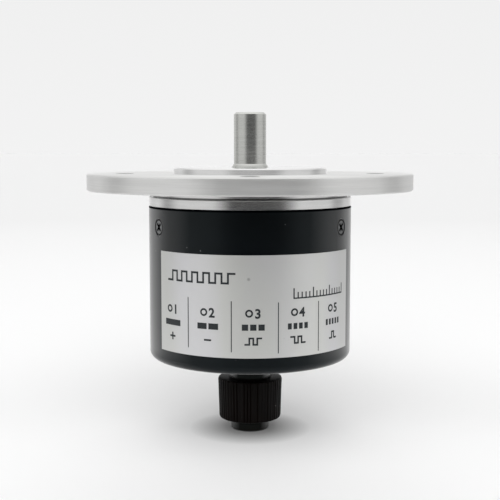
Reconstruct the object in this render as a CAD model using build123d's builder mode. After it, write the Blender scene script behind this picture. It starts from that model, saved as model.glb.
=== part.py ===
from build123d import *
import os
from math import cos, radians, sin, tan

# Incremental rotary encoder with an 80 mm flange and a rear plug.
# Millimetres. The origin is the centre of the flange's mounting face, +Z runs out along the shaft.

# Fits and small clearances
seat_gap = 0.02
running_gap = 0.08
ball_gap = 0.06
thread_gap = 0.05
thread_end_gap = 0.3
assembly_gap = 0.1
rotor_gap = 1.0

# Flange plate and its mounting holes
flange_d = 80.0
flange_t = 4.0
flange_edge = 0.3
mount_hole_inset = 9.0
mount_hole_d = 4.5
mount_hole_count = 4

# Housing
body_d = 50.0
pilot_inset = 6.0
pilot_h = 1.5
pilot_edge = 0.3
plate_seat_step = 0.3
neck_inset = 1.0
neck_h = 1.5
ring_h = 2.35
ring_edge = 0.2
skirt_wall = 5.0
skirt_above_hub_end = 1.0
hub_wall = 3.0
hub_lip = 0.6
pocket_roof = 1.15
web_t = 1.0
web_relief = 0.2

# Rear cover
cover_len = 37.5
cover_wall = 1.3
cover_floor = 2.0
cover_round = 1.8
cover_inner_round = 0.8
cover_edge = 0.15

# Shaft and its collar
shaft_d = 8.0
shaft_out = 15.0
shaft_edge = 0.5
shoulder_step = 1.0
hub_seat_step = 1.0
hub_seat_len = 3.2
collar_wall = 0.45
collar_h = 1.9
collar_edge = 0.25
collar_side_gap = 0.45
relief_depth = 0.25
relief_len = 0.7

# Ball bearings, 8 x 16 x 5
bearing_section = 4.0
bearing_w = 5.0
bearing_edge = 0.25
bearing_spread = 6.4
race_space = 1.4
ball_d = 2.0
ball_count = 9
cage_side_gap = 0.35
cage_rim = 0.4

# Bearing preload and retention
spring_h = 0.7
spring_t = 0.3
spring_wall = 1.1
retaining_ring_t = 0.8
retaining_groove_depth = 0.5
retaining_ring_wall = 1.4
retaining_gap_angle = 34.0
retaining_ear_turn = 10.0
retaining_ear_hole_share = 1 / 3

# Code disc and its hub
hub_spigot_wall = 1.5
hub_flange_wall = 2.5
hub_flange_t = 2.4
disc_side_gap = 0.8
disc_t = 0.8
disc_face_gap = 0.5
window_count = 45
window_share = 0.5
window_rim = 0.8
window_len = 2.4
index_gap = 0.9
index_len = 1.1
clamp_t = 0.8
hub_screw_d = 2.5
hub_screw_head_d = 4.5
hub_screw_head_h = 1.2
hub_screw_len = 6.0

# Sensor head: a fork that stands on the board behind the shaft and reaches over the disc
fork_w = 8.0
fork_tip_wall = 0.7
fork_spine_t = 3.2
fork_arm_t = 2.3
fork_base_t = 2.1
emitter_d = 3.0
emitter_h = 1.7
emitter_dome = 0.3
detector_size = 4.2
detector_h = 0.6
mask_l = 6.0
mask_w = 4.4
mask_t = 0.6
mask_slit_w = 0.3
mask_slit_count = 4

# Circuit board, its standoffs and what it carries
board_side_gap = 0.5
board_t = 1.6
standoff_af = 4.0
standoff_stud_d = 2.0
standoff_stud_len = 4.0
board_screw_d = 2.0
board_screw_head_d = 3.8
board_screw_head_h = 1.3
board_screw_len = 5.0
chip_l = 6.0
chip_w = 4.4
chip_h = 1.6
chip_lift = 0.15
chip_lead_w = 0.5
chip_lead_l = 0.9
chip_lead_count = 4
chip_places = [(-11.0, -5.5), (11.0, -5.5)]
capacitor_d = 5.0
capacitor_h = 5.4
capacitor_round = 0.4
capacitor_places = [(-4.0, -13.5), (4.0, -13.5)]
resistor_l = 2.0
resistor_w = 1.2
resistor_h = 0.5
resistor_gap_l = 1.2
resistor_gap_w = 1.2
resistor_places = [(-12.5, 3.0), (12.5, 3.0)]
header_l = 11.6
header_w = 3.6
header_h = 2.6
header_edge = 0.4
header_y = 3.5
lead_pitch = 2.0
lead_d = 1.0
lead_straight_share = 1 / 3
lead_bend_share = 0.45

# Screws
flange_screw_d = 2.0
flange_screw_head_d = 3.8
flange_screw_grip = 3.6
cover_screw_d = 2.0
cover_screw_head_d = 3.8
cover_screw_sink_d = 4.3
cover_screw_len = 5.6
cover_screw_below_ring = 4.55
screw_count = 3
screw_head_land = 0.1
recess_w = 0.7
recess_taper = 12.0
recess_depth_share = 0.7
recess_l_share = 0.65
crown_share = 0.45

# Cover seal
seal_section = 1.1
seal_below_ring = 1.65
seal_side_gap = 0.25

# Label
label_t = 0.1
label_h = 23.5
label_below_flange_face = 17.8
label_left_angle = 56.6
label_right_angle = 66.6

# Rear plug
barrel_d = 9.5
barrel_len = 13.5
barrel_wall = 0.85
barrel_edge = 0.3
plug_tail_wall = 0.5
plug_tail_above_floor = 3.0
plug_neck_step = 0.6
plug_neck_h = 4.85
gasket_step = 0.25
gasket_t = 0.5
key_w = 1.2
key_h = 0.5
panel_nut_wall = 1.6
panel_nut_t = 2.0
insert_above_floor = 1.4
insert_below_neck = 4.3
pin_count = 5
pin_d = 1.0
pin_inset = 1.3
pin_out = 4.5
pin_nose_share = 0.35
solder_cup_out = 2.0
solder_cup_d = 1.3

# Coupling nut
nut_wall = 1.6
nut_taper = 0.3
nut_len = 10.3
nut_gap = 0.3
nut_web_t = 1.2
nut_rib_count = 57
nut_rib_depth = 0.35
nut_rib_share = 0.55
nut_top_edge = 0.35
nut_foot_edge = 1.3
snap_ring_t = 0.8
snap_ring_step = 1.15
snap_ring_clearance = 0.4
snap_groove_depth = 0.3
snap_gap_angle = 40.0

# Radii that follow from the sizes above
body_r = body_d / 2
mount_circle_r = flange_d / 2 - mount_hole_inset
pilot_r = body_r - pilot_inset
plate_seat_r = pilot_r + plate_seat_step
neck_r = body_r - neck_inset
flange_screw_circle_r = (plate_seat_r + neck_r) / 2
cover_inner_r = body_r - cover_wall
skirt_r = cover_inner_r - assembly_gap
pocket_r = skirt_r - skirt_wall
seal_groove_r = cover_inner_r - seal_section - 2 * seat_gap
shaft_r = shaft_d / 2
shoulder_r = shaft_r + shoulder_step
hub_seat_r = shaft_r - hub_seat_step
collar_r = shaft_r + collar_wall
web_hole_r = collar_r + collar_side_gap
bore_r = shaft_r + bearing_section
hub_r = bore_r + hub_wall
ball_r = ball_d / 2
ball_circle_r = (shaft_r + bore_r) / 2
race_outer_r = ball_circle_r + race_space / 2
race_inner_r = ball_circle_r - race_space / 2
cage_wall = race_space - 2 * cage_side_gap
cage_h = ball_d + 2 * cage_rim
hub_spigot_r = hub_seat_r + hub_spigot_wall
hub_flange_r = hub_spigot_r + hub_flange_wall
standoff_circle_r = (skirt_r + pocket_r) / 2
disc_r = standoff_circle_r - standoff_af / 2 / cos(radians(30)) - disc_side_gap
window_mid_r = disc_r - window_rim - window_len / 2
index_mid_r = window_mid_r - window_len / 2 - index_gap - index_len / 2
fork_reach_r = window_mid_r - emitter_d / 2 - fork_tip_wall
fork_spine_r = disc_r + disc_side_gap
fork_back_r = fork_spine_r + fork_spine_t
board_r = cover_inner_r - board_side_gap
barrel_r = barrel_d / 2
barrel_bore_r = barrel_r - barrel_wall
plug_tail_r = barrel_bore_r + plug_tail_wall
plug_neck_r = barrel_r + plug_neck_step
gasket_r = plug_neck_r + gasket_step
pin_circle_r = barrel_bore_r - pin_inset
snap_groove_r = barrel_r - snap_groove_depth
snap_ring_r = barrel_r + snap_ring_step
nut_bore_r = snap_ring_r + snap_ring_clearance
nut_r = nut_bore_r + nut_wall
nut_foot_r = nut_r - nut_taper

# Levels along the shaft axis
plate_back_z = -flange_t
ring_top_z = plate_back_z - neck_h
cover_top_z = ring_top_z - ring_h
cover_end_z = cover_top_z - cover_len
floor_z = cover_end_z + cover_floor
cover_screw_z = cover_top_z - cover_screw_below_ring
seal_z = cover_top_z - seal_below_ring
web_z = pilot_h - web_t
collar_top_z = web_z + collar_h
front_bearing_z = web_z - bearing_w / 2
shoulder_top_z = web_z - bearing_w
shoulder_end_z = shoulder_top_z - bearing_spread
rear_bearing_z = shoulder_end_z - bearing_w / 2
spring_top_z = shoulder_end_z - bearing_w
retaining_top_z = spring_top_z - spring_h
hub_end_z = retaining_top_z - retaining_ring_t - hub_lip
skirt_end_z = hub_end_z + skirt_above_hub_end
hub_top_z = hub_end_z - rotor_gap
hub_seat_end_z = hub_top_z - hub_seat_len
disc_top_z = hub_top_z - hub_flange_t
disc_end_z = disc_top_z - disc_t
clamp_end_z = disc_end_z - clamp_t
fork_arm_end_z = disc_top_z + disc_face_gap
fork_slot_end_z = disc_end_z - disc_face_gap - mask_t - detector_h
board_top_z = fork_slot_end_z - fork_base_t
board_end_z = board_top_z - board_t
header_end_z = board_end_z - header_h
gasket_end_z = cover_end_z - gasket_t
neck_end_z = gasket_end_z - plug_neck_h
barrel_end_z = neck_end_z - barrel_len
plug_top_z = floor_z + plug_tail_above_floor
insert_top_z = floor_z + insert_above_floor
insert_end_z = neck_end_z - insert_below_neck
pin_top_z = insert_top_z + solder_cup_out
nut_top_z = neck_end_z - nut_gap
nut_end_z = nut_top_z - nut_len
snap_ring_top_z = nut_top_z - nut_web_t - nut_gap

# Directions round the axis, in degrees from +X
cover_screw_angles = [90 + 360 / screw_count * k for k in range(screw_count)]
flange_screw_angles = [angle + 180 / screw_count for angle in cover_screw_angles]
standoff_angles = flange_screw_angles
window_step = 360 / window_count

os.makedirs("parts", exist_ok=True)


def save(part, name):
    part.label = name
    export_step(part, f"parts/{name}.step")


def around(radius, angle, z):
    return (radius * cos(radians(angle)), radius * sin(radians(angle)), z)


def outward_plane(radius, angle, z):
    direction = (cos(radians(angle)), sin(radians(angle)), 0)
    return Plane(origin=around(radius, angle, z), x_dir=(0, 0, 1), z_dir=direction)


def rims(part):
    return part.edges().filter_by(GeomType.CIRCLE)


def annulus(inner_r, outer_r, top_z, height):
    with BuildPart() as ring:
        with BuildSketch(Plane.XY.offset(top_z)):
            Circle(outer_r)
            Circle(inner_r, mode=Mode.SUBTRACT)
        extrude(amount=-height)
    return ring.part


def countersunk_screws(planes, thread_d, head_d, length):
    """Cross-recessed countersunk screws, head outwards, each with its head flush with its plane."""
    head_h = (head_d - thread_d) / 2
    with BuildPart() as screws:
        for plane in planes:
            with BuildSketch(plane):
                Circle(head_d / 2)
            extrude(amount=-screw_head_land)
            with Locations(plane.offset(-screw_head_land)):
                Cone(thread_d / 2, head_d / 2, head_h, align=(Align.CENTER, Align.CENTER, Align.MAX))
            with BuildSketch(plane.offset(-screw_head_land - head_h)):
                Circle(thread_d / 2)
            extrude(amount=-(length - screw_head_land - head_h))
        for plane in planes:
            with BuildSketch(plane):
                Rectangle(recess_w, head_d * recess_l_share, rotation=45)
                Rectangle(recess_w, head_d * recess_l_share, rotation=-45)
            extrude(amount=-head_h, taper=recess_taper, mode=Mode.SUBTRACT)
    return screws.part


def pan_screws(planes, thread_d, head_d, head_h, length):
    """Cross-recessed pan-head screws: the head stands on its plane, the thread goes the other way."""
    with BuildPart() as screws:
        for plane in planes:
            with BuildSketch(plane):
                Circle(head_d / 2)
            extrude(amount=head_h)
            with BuildSketch(plane):
                Circle(thread_d / 2)
            extrude(amount=-length)
        crowns = rims(screws).group_by(SortBy.RADIUS)[-1].filter_by(
            lambda edge: abs(planes[0].to_local_coords(edge.center()).Z - head_h) < 0.01
        )
        fillet(crowns, head_h * crown_share)
        for plane in planes:
            with BuildSketch(plane.offset(head_h)):
                Rectangle(recess_w, head_d * recess_l_share, rotation=45)
                Rectangle(recess_w, head_d * recess_l_share, rotation=-45)
            extrude(amount=-head_h * recess_depth_share, taper=recess_taper, mode=Mode.SUBTRACT)
    return screws.part


# Flange plate: sits round the housing's seat under the pilot, on its neck
with BuildPart() as flange_plate:
    with BuildSketch():
        Circle(flange_d / 2)
        Circle(plate_seat_r + seat_gap, mode=Mode.SUBTRACT)
        with PolarLocations(mount_circle_r, mount_hole_count):
            Circle(mount_hole_d / 2, mode=Mode.SUBTRACT)
    extrude(amount=-flange_t)
    chamfer(rims(flange_plate).group_by(SortBy.RADIUS)[-1], flange_edge)
    with PolarLocations(flange_screw_circle_r, screw_count, start_angle=flange_screw_angles[0]):
        CounterSinkHole(
            flange_screw_d / 2 + assembly_gap,
            flange_screw_head_d / 2 + screw_head_land + assembly_gap,
            counter_sink_angle=90,
        )
save(flange_plate.part, "flange_plate")

# Bearing housing: pilot, neck, ring, skirt for the cover and a hub bored for both bearings
with BuildPart() as bearing_housing:
    with BuildSketch(Plane.XZ):
        with BuildLine():
            Polyline(
                (web_hole_r, pilot_h),
                (pilot_r - pilot_edge, pilot_h),
                (pilot_r, pilot_h - pilot_edge),
                (pilot_r, 0),
                (plate_seat_r, 0),
                (plate_seat_r, plate_back_z),
                (neck_r, plate_back_z),
                (neck_r, ring_top_z),
                (body_r - ring_edge, ring_top_z),
                (body_r, ring_top_z - ring_edge),
                (body_r, cover_top_z + ring_edge),
                (body_r - ring_edge, cover_top_z),
                (skirt_r, cover_top_z),
                (skirt_r, skirt_end_z),
                (pocket_r, skirt_end_z),
                (pocket_r, cover_top_z - pocket_roof),
                (hub_r, cover_top_z - pocket_roof),
                (hub_r, hub_end_z),
                (bore_r, hub_end_z),
                (bore_r, web_z),
                (race_outer_r, web_z),
                (race_outer_r, web_z + web_relief),
                (web_hole_r, web_z + web_relief),
                close=True,
            )
        make_face()
    revolve(axis=Axis.Z)
    # groove for the bearing retaining ring
    with BuildSketch(Plane.XY.offset(retaining_top_z)):
        Circle(bore_r + retaining_groove_depth + seat_gap)
    extrude(amount=-(retaining_ring_t + seat_gap), mode=Mode.SUBTRACT)
    # groove for the cover seal
    with BuildSketch(Plane.XY.offset(seal_z)):
        Circle(cover_inner_r)
        Circle(seal_groove_r, mode=Mode.SUBTRACT)
    extrude(amount=seal_section / 2 + seal_side_gap, both=True, mode=Mode.SUBTRACT)
    # threaded holes: flange screws from the front, standoffs from the back, cover screws from the side
    with Locations(Plane.XY.offset(plate_back_z)):
        with PolarLocations(flange_screw_circle_r, screw_count, start_angle=flange_screw_angles[0]):
            Hole(flange_screw_d / 2 + thread_gap, depth=flange_screw_grip + thread_end_gap)
    with BuildSketch(Plane.XY.offset(skirt_end_z)):
        with PolarLocations(standoff_circle_r, screw_count, start_angle=standoff_angles[0]):
            Circle(standoff_stud_d / 2 + thread_gap)
    extrude(amount=standoff_stud_len + thread_end_gap, mode=Mode.SUBTRACT)
    for angle in cover_screw_angles:
        with Locations(outward_plane(skirt_r, angle, cover_screw_z)):
            Hole(cover_screw_d / 2 + thread_gap, depth=skirt_wall + 1)
save(bearing_housing.part, "bearing_housing")

# Screws that hold the flange plate to the housing
flange_screw_planes = [
    Plane(origin=around(flange_screw_circle_r, angle, -seat_gap), z_dir=(0, 0, 1))
    for angle in flange_screw_angles
]
save(
    countersunk_screws(
        flange_screw_planes,
        flange_screw_d,
        flange_screw_head_d,
        flange_t + flange_screw_grip,
    ),
    "flange_screws",
)


# Ball bearings: outer ring in the housing, inner ring on the shaft, balls and cage between them
def race_ring(inner_r, outer_r, centre_z):
    with BuildPart() as ring:
        add(annulus(inner_r, outer_r, centre_z + bearing_w / 2, bearing_w))
        chamfer(rims(ring), bearing_edge)
        with Locations((0, 0, centre_z)):
            Torus(ball_circle_r, ball_r + ball_gap, mode=Mode.SUBTRACT)
    return ring.part


def ball_set(centre_z):
    with BuildPart() as balls:
        with Locations((0, 0, centre_z)):
            with PolarLocations(ball_circle_r, ball_count):
                Sphere(ball_r)
    return balls.part


def ball_cage(centre_z):
    with BuildPart() as cage:
        with BuildSketch(Plane.XY.offset(centre_z - cage_h / 2)):
            Circle(ball_circle_r + cage_wall / 2)
            Circle(ball_circle_r - cage_wall / 2, mode=Mode.SUBTRACT)
        extrude(amount=cage_h)
        pockets = [
            outward_plane(ball_circle_r + cage_wall / 2, 360 / ball_count * k, centre_z)
            for k in range(ball_count)
        ]
        with Locations(*pockets):
            Hole(ball_r + ball_gap, depth=2 * cage_wall)
    return cage.part


for place, centre_z in (("front", front_bearing_z), ("rear", rear_bearing_z)):
    save(race_ring(race_outer_r, bore_r - seat_gap, centre_z), f"{place}_bearing_outer_ring")
    save(race_ring(shaft_r + seat_gap, race_inner_r, centre_z), f"{place}_bearing_inner_ring")
    save(ball_set(centre_z), f"{place}_bearing_balls")
    save(ball_cage(centre_z), f"{place}_bearing_cage")

# Disc spring: its inner edge presses on the rear bearing's outer ring, its outer edge rests on
# the retaining ring
with BuildPart() as preload_spring:
    spring_outer_r = bore_r - assembly_gap
    spring_inner_r = spring_outer_r - spring_wall
    with BuildSketch(Plane.XZ):
        with BuildLine():
            Polyline(
                (spring_inner_r, spring_top_z),
                (spring_inner_r, spring_top_z - spring_t),
                (spring_outer_r, retaining_top_z),
                (spring_outer_r, retaining_top_z + spring_t),
                close=True,
            )
        make_face()
    revolve(axis=Axis.Z)
save(preload_spring.part, "preload_spring")

# Retaining ring that holds both bearings in the housing
with BuildPart() as bearing_retaining_ring:
    with BuildSketch(Plane.XY.offset(retaining_top_z)):
        Circle(bore_r + retaining_groove_depth)
        Circle(bore_r - retaining_ring_wall, mode=Mode.SUBTRACT)
        gap_w = 2 * bore_r * sin(radians(retaining_gap_angle / 2))
        with PolarLocations(bore_r, 1):
            Rectangle(4 * retaining_ring_wall, gap_w, mode=Mode.SUBTRACT)
        ear_angle = retaining_gap_angle / 2 + retaining_ear_turn
        for angle in (-ear_angle, ear_angle):
            with PolarLocations(bore_r - retaining_ring_wall, 1, start_angle=angle):
                Circle(retaining_ring_wall)
                Circle(retaining_ring_wall * retaining_ear_hole_share, mode=Mode.SUBTRACT)
    extrude(amount=-retaining_ring_t)
save(bearing_retaining_ring.part, "bearing_retaining_ring")

# Shaft: chamfered end, relief under the collar's rim, bearing seats either side of a shoulder and
# a seat for the disc hub
with BuildPart() as shaft:
    with BuildSketch(Plane.XZ):
        with BuildLine():
            Polyline(
                (0, shaft_out),
                (shaft_r - shaft_edge, shaft_out),
                (shaft_r, shaft_out - shaft_edge),
                (shaft_r, collar_top_z),
                (shaft_r - relief_depth, collar_top_z),
                (shaft_r - relief_depth, collar_top_z - relief_len),
                (shaft_r, collar_top_z - relief_len),
                (shaft_r, shoulder_top_z),
                (shoulder_r, shoulder_top_z),
                (shoulder_r, shoulder_end_z),
                (shaft_r, shoulder_end_z),
                (shaft_r, hub_top_z),
                (hub_seat_r, hub_top_z),
                (hub_seat_r, hub_seat_end_z),
                (0, hub_seat_end_z),
                close=True,
            )
        make_face()
    revolve(axis=Axis.Z)
    with Locations(Plane(origin=(0, 0, hub_seat_end_z), z_dir=(0, 0, -1))):
        Hole(hub_screw_d / 2 + thread_gap, depth=hub_screw_len)
save(shaft.part, "shaft")

# Collar on the shaft in front of the bearing
with BuildPart() as shaft_collar:
    add(annulus(shaft_r + seat_gap, collar_r, collar_top_z, collar_h))
    chamfer(rims(shaft_collar).group_by(Axis.Z)[-1].sort_by(SortBy.RADIUS)[-1], collar_edge)
save(shaft_collar.part, "shaft_collar")

# Disc hub: flange and spigot that centre the code disc
with BuildPart() as disc_hub:
    with BuildSketch(Plane.XY.offset(hub_top_z)):
        Circle(hub_flange_r)
    extrude(amount=-hub_flange_t)
    with BuildSketch(Plane.XY.offset(disc_top_z)):
        Circle(hub_spigot_r)
    extrude(amount=-disc_t)
    with BuildSketch(Plane.XY.offset(hub_top_z)):
        Circle(hub_seat_r + seat_gap)
    extrude(amount=-(hub_flange_t + disc_t), mode=Mode.SUBTRACT)
save(disc_hub.part, "disc_hub")

# Code disc: a ring of windows and one index window
with BuildPart() as code_disc:
    with BuildSketch(Plane.XY.offset(disc_top_z)):
        Circle(disc_r)
        Circle(hub_spigot_r + seat_gap, mode=Mode.SUBTRACT)
        window_w = window_share * 2 * window_mid_r * sin(radians(window_step / 2))
        with PolarLocations(window_mid_r, window_count):
            Rectangle(window_len, window_w, mode=Mode.SUBTRACT)
        with PolarLocations(index_mid_r, 1, start_angle=90):
            Rectangle(index_len, window_w, mode=Mode.SUBTRACT)
    extrude(amount=-disc_t)
save(code_disc.part, "code_disc")

# Washer and screw that clamp the disc to the hub
save(annulus(hub_screw_d / 2 + assembly_gap, hub_flange_r, disc_end_z, clamp_t), "disc_clamp_washer")
hub_screw_planes = [Plane(origin=(0, 0, clamp_end_z), z_dir=(0, 0, -1))]
save(
    pan_screws(hub_screw_planes, hub_screw_d, hub_screw_head_d, hub_screw_head_h, hub_screw_len),
    "hub_screw",
)

# Sensor head: a fork whose arm holds the light emitter over the disc
with BuildPart() as sensor_head:
    with BuildSketch(Plane.YZ):
        with BuildLine():
            Polyline(
                (fork_reach_r, fork_arm_end_z),
                (fork_spine_r, fork_arm_end_z),
                (fork_spine_r, fork_slot_end_z),
                (fork_reach_r, fork_slot_end_z),
                (fork_reach_r, board_top_z),
                (fork_back_r, board_top_z),
                (fork_back_r, fork_arm_end_z + fork_arm_t),
                (fork_reach_r, fork_arm_end_z + fork_arm_t),
                close=True,
            )
        make_face()
    extrude(amount=fork_w / 2, both=True)
    with Locations((0, window_mid_r, fork_arm_end_z)):
        Cylinder(
            emitter_d / 2 + thread_gap,
            emitter_h,
            align=(Align.CENTER, Align.CENTER, Align.MIN),
            mode=Mode.SUBTRACT,
        )
save(sensor_head.part, "sensor_head")

# Light emitter: a short body with a domed face towards the disc
with BuildPart() as light_emitter:
    with BuildSketch(Plane(origin=(0, window_mid_r, fork_arm_end_z + emitter_h), z_dir=(0, 0, -1))):
        Circle(emitter_d / 2)
    extrude(amount=emitter_h)
    fillet(light_emitter.edges().group_by(Axis.Z)[0], emitter_dome)
save(light_emitter.part, "light_emitter")

# Photodetector and the slit mask on top of it, both under the disc
with BuildPart() as photodetector:
    with BuildSketch(Plane.XY.offset(fork_slot_end_z)):
        with Locations((0, window_mid_r)):
            Rectangle(detector_size, detector_size)
    extrude(amount=detector_h)
save(photodetector.part, "photodetector")

with BuildPart() as reticle_mask:
    with BuildSketch(Plane.XY.offset(fork_slot_end_z + detector_h)):
        with Locations((0, window_mid_r)):
            Rectangle(mask_l, mask_w)
            with GridLocations(3 * mask_slit_w, 1, mask_slit_count, 1):
                Rectangle(mask_slit_w, mask_w / 2, mode=Mode.SUBTRACT)
    extrude(amount=mask_t)
save(reticle_mask.part, "reticle_mask")

# Circuit board with holes for its screws
with BuildPart() as circuit_board:
    with BuildSketch(Plane.XY.offset(board_top_z)):
        Circle(board_r)
        with PolarLocations(standoff_circle_r, screw_count, start_angle=standoff_angles[0]):
            Circle(board_screw_d / 2 + assembly_gap, mode=Mode.SUBTRACT)
    extrude(amount=-board_t)
save(circuit_board.part, "circuit_board")

# Hexagon standoffs between the housing's skirt and the board
with BuildPart() as board_standoffs:
    with BuildSketch(Plane.XY.offset(skirt_end_z)):
        with PolarLocations(standoff_circle_r, screw_count, start_angle=standoff_angles[0]):
            RegularPolygon(standoff_af / 2, 6, major_radius=False, rotation=30)
    extrude(amount=board_top_z - skirt_end_z)
    with BuildSketch(Plane.XY.offset(skirt_end_z)):
        with PolarLocations(standoff_circle_r, screw_count, start_angle=standoff_angles[0]):
            Circle(standoff_stud_d / 2)
    extrude(amount=standoff_stud_len)
    with BuildSketch(Plane.XY.offset(board_top_z)):
        with PolarLocations(standoff_circle_r, screw_count, start_angle=standoff_angles[0]):
            Circle(board_screw_d / 2 + thread_gap)
    extrude(amount=board_screw_len, mode=Mode.SUBTRACT)
save(board_standoffs.part, "board_standoffs")

# Screws that hold the board
board_screw_planes = [
    Plane(origin=around(standoff_circle_r, angle, board_end_z), z_dir=(0, 0, -1)) for angle in standoff_angles
]
save(
    pan_screws(board_screw_planes, board_screw_d, board_screw_head_d, board_screw_head_h, board_screw_len),
    "board_screws",
)

# Amplifier chips with gull-wing leads, under the board
with BuildPart() as board_chips:
    with BuildSketch(Plane.XY.offset(board_end_z - chip_lift)):
        with Locations(*chip_places):
            Rectangle(chip_l, chip_w)
    extrude(amount=-chip_h)
    with BuildSketch(Plane.XY.offset(board_end_z)):
        for chip_x, chip_y in chip_places:
            for side in (-1, 1):
                with Locations((chip_x, chip_y + side * (chip_w + chip_lead_l) / 2)):
                    with GridLocations(chip_l / chip_lead_count, 1, chip_lead_count, 1):
                        Rectangle(chip_lead_w, chip_lead_l)
    extrude(amount=-chip_h / 2)
save(board_chips.part, "board_chips")

# Smoothing capacitors
with BuildPart() as board_capacitors:
    with BuildSketch(Plane.XY.offset(board_end_z)):
        with Locations(*capacitor_places):
            Circle(capacitor_d / 2)
    extrude(amount=-capacitor_h)
    fillet(board_capacitors.edges().group_by(Axis.Z)[0], capacitor_round)
save(board_capacitors.part, "board_capacitors")

# Chip resistors, two by two
with BuildPart() as board_resistors:
    with BuildSketch(Plane.XY.offset(board_end_z)):
        with Locations(*resistor_places):
            with GridLocations(resistor_l + resistor_gap_l, resistor_w + resistor_gap_w, 2, 2):
                Rectangle(resistor_l, resistor_w)
    extrude(amount=-resistor_h)
save(board_resistors.part, "board_resistors")

# Wire header that the lead wires start from
with BuildPart() as wire_header:
    with BuildSketch(Plane.XY.offset(board_end_z)):
        with Locations((0, header_y)):
            Rectangle(header_l, header_w)
    extrude(amount=-header_h)
    chamfer(wire_header.edges().filter_by(Axis.Z), header_edge)
save(wire_header.part, "wire_header")

# Lead wires from the header to the solder cups, each bent once at either end
pin_angles = [90 + 360 / pin_count * k for k in range(pin_count)]
pin_places = [around(pin_circle_r, angle, pin_top_z) for angle in pin_angles]
lead_order = [("red", 1), ("black", 2), ("white", 0), ("green", 3), ("yellow", 4)]
lead_fall = header_end_z - pin_top_z
lead_straight = lead_fall * lead_straight_share
for k, (colour, pin) in enumerate(lead_order):
    start_x = lead_pitch * (k - (pin_count - 1) / 2)
    pin_x, pin_y, _ = pin_places[pin]
    route = [
        Vector(start_x, header_y, header_end_z),
        Vector(start_x, header_y, header_end_z - lead_straight),
        Vector(pin_x, pin_y, pin_top_z + lead_straight),
        Vector(pin_x, pin_y, pin_top_z),
    ]
    runs = [b - a for a, b in zip(route, route[1:])]
    turn = runs[0].get_angle(runs[1])
    bend_r = lead_bend_share * lead_straight / tan(radians(turn / 2))
    with BuildPart() as lead_wire:
        with BuildLine() as lead_path:
            FilletPolyline(*route, radius=bend_r)
        with BuildSketch(Plane(origin=route[0], z_dir=runs[0])):
            Circle(lead_d / 2)
        sweep(path=lead_path.line)
    save(lead_wire.part, f"lead_wire_{colour}")

# Rear cover: a round-bottomed cup over the skirt, with the plug's hole in its floor
with BuildPart() as cover_inside:
    with BuildSketch(Plane.XY.offset(cover_top_z)):
        Circle(cover_inner_r)
    extrude(amount=-(cover_len - cover_floor))
    fillet(cover_inside.edges().group_by(Axis.Z)[0], cover_inner_round)

with BuildPart() as rear_cover:
    with BuildSketch(Plane.XY.offset(cover_top_z)):
        Circle(body_r)
    extrude(amount=-cover_len)
    fillet(rear_cover.edges().group_by(Axis.Z)[0], cover_round)
    chamfer(rear_cover.edges().group_by(Axis.Z)[-1], cover_edge)
    add(cover_inside.part, mode=Mode.SUBTRACT)
    with BuildSketch(Plane.XY.offset(cover_end_z)):
        Circle(plug_tail_r + thread_gap)
    extrude(amount=cover_floor, mode=Mode.SUBTRACT)
    for angle in cover_screw_angles:
        with Locations(outward_plane(body_r, angle, cover_screw_z)):
            CounterSinkHole(
                cover_screw_d / 2 + assembly_gap,
                cover_screw_sink_d / 2,
                depth=2 * cover_wall,
                counter_sink_angle=90,
            )
save(rear_cover.part, "rear_cover")

# Cover screws, flush in their countersinks
cover_screw_drop = (cover_screw_sink_d - cover_screw_head_d) / 2 - screw_head_land - seat_gap
cover_screw_planes = [
    outward_plane(body_r - cover_screw_drop, angle, cover_screw_z) for angle in cover_screw_angles
]
save(
    countersunk_screws(cover_screw_planes, cover_screw_d, cover_screw_head_d, cover_screw_len),
    "cover_screws",
)

# Cover seal: an O-ring in the skirt's groove
with BuildPart() as cover_seal:
    with Locations((0, 0, seal_z)):
        Torus(cover_inner_r - seat_gap - seal_section / 2, seal_section / 2)
save(cover_seal.part, "cover_seal")

# Label: foil round the front of the cover
label_inner_r = body_r + seat_gap
with BuildPart() as label:
    with BuildSketch(Plane.XZ):
        with Locations((label_inner_r + label_t / 2, -label_below_flange_face - label_h / 2)):
            Rectangle(label_t, label_h)
    revolve(axis=Axis.Z, revolution_arc=label_left_angle + label_right_angle)
label_turn = -90 - label_left_angle
save(Rot(0, 0, label_turn) * label.part, "label")

# Plug shell: threaded tail through the cover, neck, and the long barrel that the nut turns on
with BuildPart() as connector_shell:
    with BuildSketch(Plane.XZ):
        with BuildLine():
            Polyline(
                (barrel_bore_r, plug_top_z),
                (plug_tail_r, plug_top_z),
                (plug_tail_r, gasket_end_z),
                (plug_neck_r, gasket_end_z),
                (plug_neck_r, neck_end_z),
                (barrel_r, neck_end_z),
                (barrel_r, barrel_end_z + barrel_edge),
                (barrel_r - barrel_edge, barrel_end_z),
                (barrel_bore_r, barrel_end_z),
                close=True,
            )
        make_face()
    revolve(axis=Axis.Z)
    with BuildSketch(Plane.XY.offset(snap_ring_top_z)):
        Circle(plug_neck_r)
        Circle(snap_groove_r, mode=Mode.SUBTRACT)
    extrude(amount=-snap_ring_t, mode=Mode.SUBTRACT)
    with BuildSketch(Plane.XY.offset(insert_end_z)):
        with Locations((0, barrel_bore_r)):
            Rectangle(key_w, 2 * key_h)
    extrude(amount=barrel_end_z + 2 * barrel_edge - insert_end_z)
save(connector_shell.part, "connector_shell")

# Gasket between the neck and the cover
save(annulus(plug_tail_r + seat_gap, gasket_r, cover_end_z, gasket_t), "connector_gasket")

# Panel nut inside the cover
with BuildPart() as connector_panel_nut:
    with BuildSketch(Plane.XY.offset(floor_z)):
        RegularPolygon(plug_tail_r + panel_nut_wall, 6, major_radius=False)
        Circle(plug_tail_r + seat_gap, mode=Mode.SUBTRACT)
    extrude(amount=panel_nut_t)
save(connector_panel_nut.part, "connector_panel_nut")

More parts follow.
